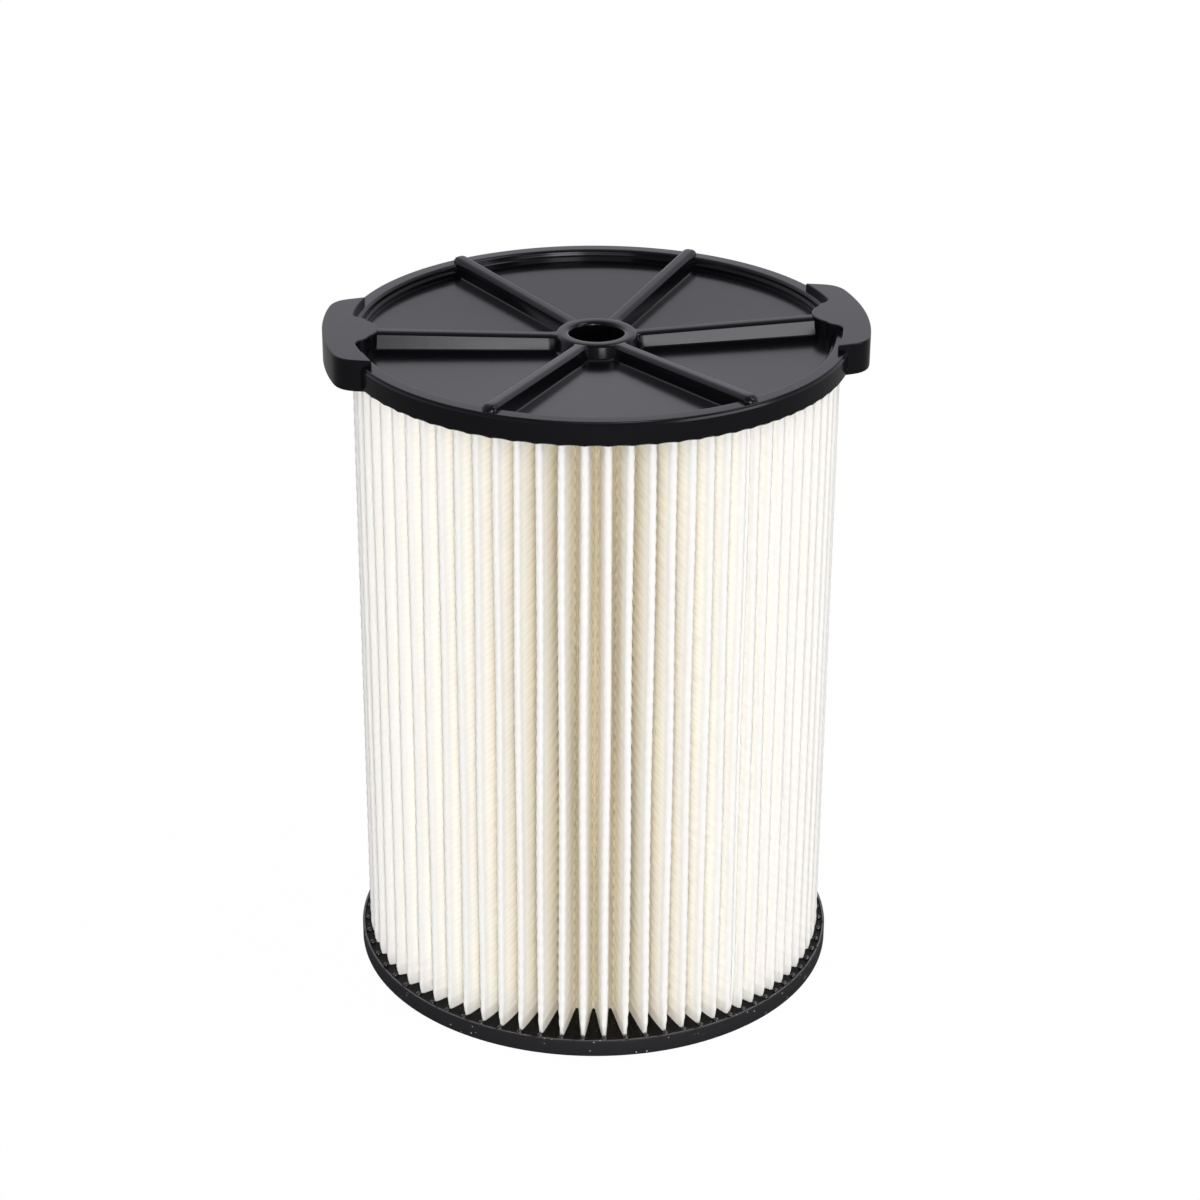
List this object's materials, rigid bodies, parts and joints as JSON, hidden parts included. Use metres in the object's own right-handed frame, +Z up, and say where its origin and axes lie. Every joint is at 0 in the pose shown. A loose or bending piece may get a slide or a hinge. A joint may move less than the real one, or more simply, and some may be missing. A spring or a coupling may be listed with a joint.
{
  "type": "pleated vacuum filter",
  "caption": "Cylindrical pleated paper cartridge filter with a ribbed moulded cap, grip tabs, a central hub bore and a soft sealing ring at its open foot.",
  "frame": {"origin": "centre of the soft ring's lower face, where the filter stands", "axes": "+Z up the filter's axis to the cap, +X through the two grip tabs"},
  "size_m": [0.1684, 0.157, 0.218],
  "materials": {
    "cap_plastic": "semi-gloss moulded black",
    "potting": "poured black compound",
    "filter_paper": "embossed cream filter paper",
    "core_plastic": "moulded black grid",
    "ring_compound": "soft cast black"
  },
  "bodies": {
    "root": {"top_cap": "cap_plastic", "top_potting": "potting", "pleated_media": "filter_paper", "inner_core": "core_plastic", "bottom_ring": "ring_compound"}
  },
  "joints": []
}
